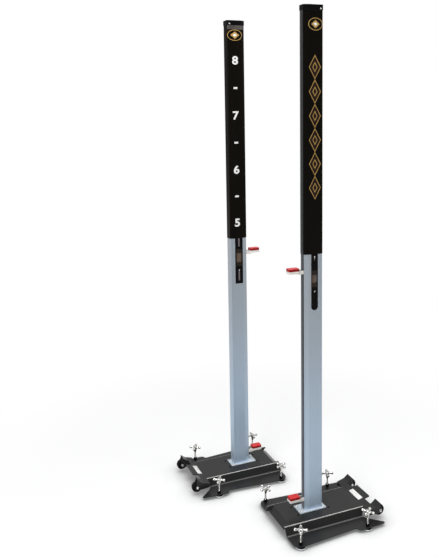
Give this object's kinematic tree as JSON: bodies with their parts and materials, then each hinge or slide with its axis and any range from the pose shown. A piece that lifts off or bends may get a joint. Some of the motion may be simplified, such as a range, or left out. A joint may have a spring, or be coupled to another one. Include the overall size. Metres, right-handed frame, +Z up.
{
  "type": "high jump standards",
  "caption": "Pair of wheeled high jump standards with tall slotted masts, sight windows, leveling screws and sliding crossbar pegs.",
  "frame": {"origin": "on the floor, midway between the two standards, at the middle of the pair's box", "axes": "+Z up; X along the crossbar direction of each standard, the right standard's wheels towards +X and the left one's towards -X; the left standard stands towards +Y"},
  "size_m": [0.873, 1.0568, 2.656],
  "materials": {
    "painted_steel": "satin charcoal powder coat",
    "dark_steel": "dark painted steel plate",
    "zinc_steel": "bright zinc plated steel",
    "anodised_mast": "satin anodised, fluted",
    "plain_aluminium": "mill finish",
    "black_plastic": "satin black",
    "black_wrap": "black printed wrap, low sheen",
    "tape_print": "pale printed tape",
    "nylon": "natural nylon",
    "white_paint": "white painted steel",
    "red_pad": "red rubber, slightly glossy",
    "bright_steel": "bright plated",
    "wheel_rubber": "black solid rubber wheel"
  },
  "bodies": {
    "standards": {"right_base_pan": "painted_steel", "right_ballast_plate": "dark_steel", "right_foot_plate": "zinc_steel", "right_mast": "anodised_mast", "right_mast_cap": "black_plastic", "right_scale_sleeve": "black_wrap", "right_guide_rail": "black_plastic", "right_reader_square": "black_plastic", "right_reader_round": "black_plastic", "right_axle_1": "bright_steel", "right_axle_2": "bright_steel", "left_base_pan": "painted_steel", "left_ballast_plate": "dark_steel", "left_foot_plate": "zinc_steel", "left_mast": "anodised_mast", "left_mast_cap": "black_plastic", "left_scale_sleeve": "black_wrap", "left_guide_rail": "black_plastic", "left_reader_square": "black_plastic", "left_reader_round": "black_plastic", "left_axle_1": "bright_steel", "left_axle_2": "bright_steel"},
    "right_slider": {"right_carriage_bar": "plain_aluminium", "right_measuring_tape": "tape_print", "right_upper_glide": "nylon", "right_lower_glide": "nylon", "right_upper_peg_bracket": "white_paint", "right_upper_peg_pad": "red_pad", "right_lower_peg_bracket": "white_paint", "right_lower_peg_pad": "red_pad"},
    "right_foot_1": {"right_foot_pad_1": "bright_steel"},
    "right_screw_1": {"right_leveling_screw_1": "bright_steel"},
    "right_foot_2": {"right_foot_pad_2": "bright_steel"},
    "right_screw_2": {"right_leveling_screw_2": "bright_steel"},
    "right_foot_3": {"right_foot_pad_3": "bright_steel"},
    "right_screw_3": {"right_leveling_screw_3": "bright_steel"},
    "right_foot_4": {"right_foot_pad_4": "bright_steel"},
    "right_screw_4": {"right_leveling_screw_4": "bright_steel"},
    "right_wheel_1": {"right_wheel_1": "wheel_rubber"},
    "right_wheel_2": {"right_wheel_2": "wheel_rubber"},
    "left_slider": {"left_carriage_bar": "plain_aluminium", "left_measuring_tape": "tape_print", "left_upper_glide": "nylon", "left_lower_glide": "nylon", "left_upper_peg_bracket": "white_paint", "left_upper_peg_pad": "red_pad", "left_lower_peg_bracket": "white_paint", "left_lower_peg_pad": "red_pad"},
    "left_foot_1": {"left_foot_pad_1": "bright_steel"},
    "left_screw_1": {"left_leveling_screw_1": "bright_steel"},
    "left_foot_2": {"left_foot_pad_2": "bright_steel"},
    "left_screw_2": {"left_leveling_screw_2": "bright_steel"},
    "left_foot_3": {"left_foot_pad_3": "bright_steel"},
    "left_screw_3": {"left_leveling_screw_3": "bright_steel"},
    "left_foot_4": {"left_foot_pad_4": "bright_steel"},
    "left_screw_4": {"left_leveling_screw_4": "bright_steel"},
    "left_wheel_1": {"left_wheel_1": "wheel_rubber"},
    "left_wheel_2": {"left_wheel_2": "wheel_rubber"}
  },
  "joints": [
    {"name": "right_slider_height", "type": "slide", "parent": "standards", "child": "right_slider", "axis": [0, 0, 1], "range_m": [0, 1.19]},
    {"name": "right_foot_1_drop", "type": "slide", "parent": "standards", "child": "right_foot_1", "axis": [0, 0, -1], "range_m": [0, 0.025]},
    {"name": "right_screw_1_turn", "type": "hinge", "parent": "right_foot_1", "child": "right_screw_1", "pos_m": [-0.0935, -0.0905, 0.06], "axis": [0, 0, -1], "range_deg": [0, 6000]},
    {"name": "right_foot_2_drop", "type": "slide", "parent": "standards", "child": "right_foot_2", "axis": [0, 0, -1], "range_m": [0, 0.025]},
    {"name": "right_screw_2_turn", "type": "hinge", "parent": "right_foot_2", "child": "right_screw_2", "pos_m": [-0.0935, -0.4945, 0.06], "axis": [0, 0, -1], "range_deg": [0, 6000]},
    {"name": "right_foot_3_drop", "type": "slide", "parent": "standards", "child": "right_foot_3", "axis": [0, 0, -1], "range_m": [0, 0.025]},
    {"name": "right_screw_3_turn", "type": "hinge", "parent": "right_foot_3", "child": "right_screw_3", "pos_m": [0.2965, -0.0905, 0.06], "axis": [0, 0, -1], "range_deg": [0, 6000]},
    {"name": "right_foot_4_drop", "type": "slide", "parent": "standards", "child": "right_foot_4", "axis": [0, 0, -1], "range_m": [0, 0.025]},
    {"name": "right_screw_4_turn", "type": "hinge", "parent": "right_foot_4", "child": "right_screw_4", "pos_m": [0.2965, -0.4945, 0.06], "axis": [0, 0, -1], "range_deg": [0, 6000]},
    {"name": "right_wheel_1_spin", "type": "hinge", "parent": "standards", "child": "right_wheel_1", "pos_m": [0.4075, -0.1575, 0.046], "axis": [0, 1, 0], "continuous": true},
    {"name": "right_wheel_2_spin", "type": "hinge", "parent": "standards", "child": "right_wheel_2", "pos_m": [0.4075, -0.4275, 0.046], "axis": [0, 1, 0], "continuous": true},
    {"name": "left_slider_height", "type": "slide", "parent": "standards", "child": "left_slider", "axis": [0, 0, 1], "range_m": [0, 1.19]},
    {"name": "left_foot_1_drop", "type": "slide", "parent": "standards", "child": "left_foot_1", "axis": [0, 0, -1], "range_m": [0, 0.025]},
    {"name": "left_screw_1_turn", "type": "hinge", "parent": "left_foot_1", "child": "left_screw_1", "pos_m": [0.0935, 0.0905, 0.06], "axis": [0, 0, -1], "range_deg": [0, 6000]},
    {"name": "left_foot_2_drop", "type": "slide", "parent": "standards", "child": "left_foot_2", "axis": [0, 0, -1], "range_m": [0, 0.025]},
    {"name": "left_screw_2_turn", "type": "hinge", "parent": "left_foot_2", "child": "left_screw_2", "pos_m": [0.0935, 0.4945, 0.06], "axis": [0, 0, -1], "range_deg": [0, 6000]},
    {"name": "left_foot_3_drop", "type": "slide", "parent": "standards", "child": "left_foot_3", "axis": [0, 0, -1], "range_m": [0, 0.025]},
    {"name": "left_screw_3_turn", "type": "hinge", "parent": "left_foot_3", "child": "left_screw_3", "pos_m": [-0.2965, 0.0905, 0.06], "axis": [0, 0, -1], "range_deg": [0, 6000]},
    {"name": "left_foot_4_drop", "type": "slide", "parent": "standards", "child": "left_foot_4", "axis": [0, 0, -1], "range_m": [0, 0.025]},
    {"name": "left_screw_4_turn", "type": "hinge", "parent": "left_foot_4", "child": "left_screw_4", "pos_m": [-0.2965, 0.4945, 0.06], "axis": [0, 0, -1], "range_deg": [0, 6000]},
    {"name": "left_wheel_1_spin", "type": "hinge", "parent": "standards", "child": "left_wheel_1", "pos_m": [-0.4075, 0.1575, 0.046], "axis": [0, -1, 0], "continuous": true},
    {"name": "left_wheel_2_spin", "type": "hinge", "parent": "standards", "child": "left_wheel_2", "pos_m": [-0.4075, 0.4275, 0.046], "axis": [0, -1, 0], "continuous": true}
  ],
  "couplings": [
    {"joint": "right_screw_1_turn", "follows": "right_foot_1_drop", "rad_per_m": 4188.8},
    {"joint": "right_screw_2_turn", "follows": "right_foot_2_drop", "rad_per_m": 4188.8},
    {"joint": "right_screw_3_turn", "follows": "right_foot_3_drop", "rad_per_m": 4188.8},
    {"joint": "right_screw_4_turn", "follows": "right_foot_4_drop", "rad_per_m": 4188.8},
    {"joint": "left_screw_1_turn", "follows": "left_foot_1_drop", "rad_per_m": 4188.8},
    {"joint": "left_screw_2_turn", "follows": "left_foot_2_drop", "rad_per_m": 4188.8},
    {"joint": "left_screw_3_turn", "follows": "left_foot_3_drop", "rad_per_m": 4188.8},
    {"joint": "left_screw_4_turn", "follows": "left_foot_4_drop", "rad_per_m": 4188.8}
  ]
}
